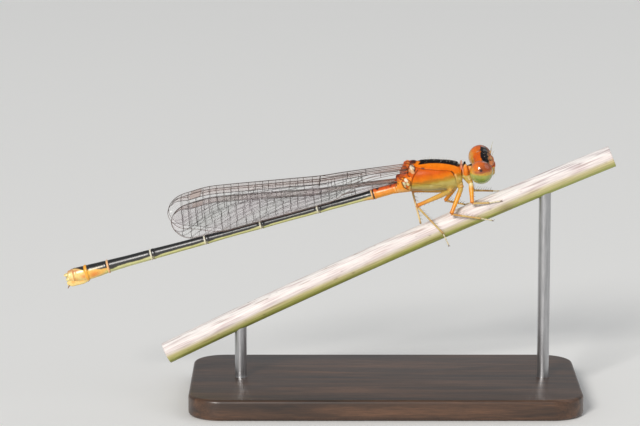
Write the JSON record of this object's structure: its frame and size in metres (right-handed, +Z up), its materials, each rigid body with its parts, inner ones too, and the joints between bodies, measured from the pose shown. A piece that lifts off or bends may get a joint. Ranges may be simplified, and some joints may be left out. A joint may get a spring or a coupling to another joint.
{
  "type": "damselfly",
  "caption": "Life-size still damselfly, orange form, wings closed over a long dark abdomen, perched head up on a cut dry stem held by thin pins on a flat wooden base.",
  "frame": {"origin": "centre of the whole part's bounding box at its lowest level, which lies on the underside of the flat base", "axes": "+X the way the head points, +Y to the insect's left, +Z up"},
  "size_m": [0.037, 0.014, 0.0174],
  "materials": {
    "cuticle_orange": "satin",
    "cuticle_black": "gloss",
    "cuticle_pale": "satin",
    "eye": "gloss",
    "antenna": "matte",
    "wing": "gloss",
    "leg": "satin",
    "stem": "satin",
    "stand_wood": "satin",
    "stand_steel": "brushed"
  },
  "bodies": {
    "root": {"stem": "stem", "stand_base": "stand_wood", "stand_pin_low": "stand_steel", "stand_pin_high": "stand_steel", "thorax": "cuticle_orange", "prothorax": "cuticle_orange", "head": "cuticle_orange", "mouthparts": "cuticle_pale", "eye_left": "eye", "eye_right": "eye", "neck": "cuticle_orange", "antenna_left": "antenna", "antenna_right": "antenna", "abdomen_1": "cuticle_orange", "abdomen_2": "cuticle_orange", "abdomen_3": "cuticle_black", "abdomen_4": "cuticle_black", "abdomen_5": "cuticle_black", "abdomen_6": "cuticle_black", "abdomen_7": "cuticle_black", "abdomen_8": "cuticle_pale", "abdomen_9": "cuticle_pale", "abdomen_10": "cuticle_pale", "ovipositor": "cuticle_pale", "wing_hind_left": "wing", "wing_hind_right": "wing", "wing_fore_left": "wing", "wing_fore_right": "wing", "leg_fore_right_hip": "leg", "leg_fore_right_femur": "leg", "leg_fore_right_tibia": "leg", "leg_fore_right_tarsus": "leg", "leg_mid_right_hip": "leg", "leg_mid_right_femur": "leg", "leg_mid_right_tibia": "leg", "leg_mid_right_tarsus": "leg", "leg_hind_right_hip": "leg", "leg_hind_right_femur": "leg", "leg_hind_right_tibia": "leg", "leg_hind_right_tarsus": "leg", "leg_fore_left_hip": "leg", "leg_fore_left_femur": "leg", "leg_fore_left_tibia": "leg", "leg_fore_left_tarsus": "leg", "leg_mid_left_hip": "leg", "leg_mid_left_femur": "leg", "leg_mid_left_tibia": "leg", "leg_mid_left_tarsus": "leg", "leg_hind_left_hip": "leg", "leg_hind_left_femur": "leg", "leg_hind_left_tibia": "leg", "leg_hind_left_tarsus": "leg"}
  },
  "joints": []
}
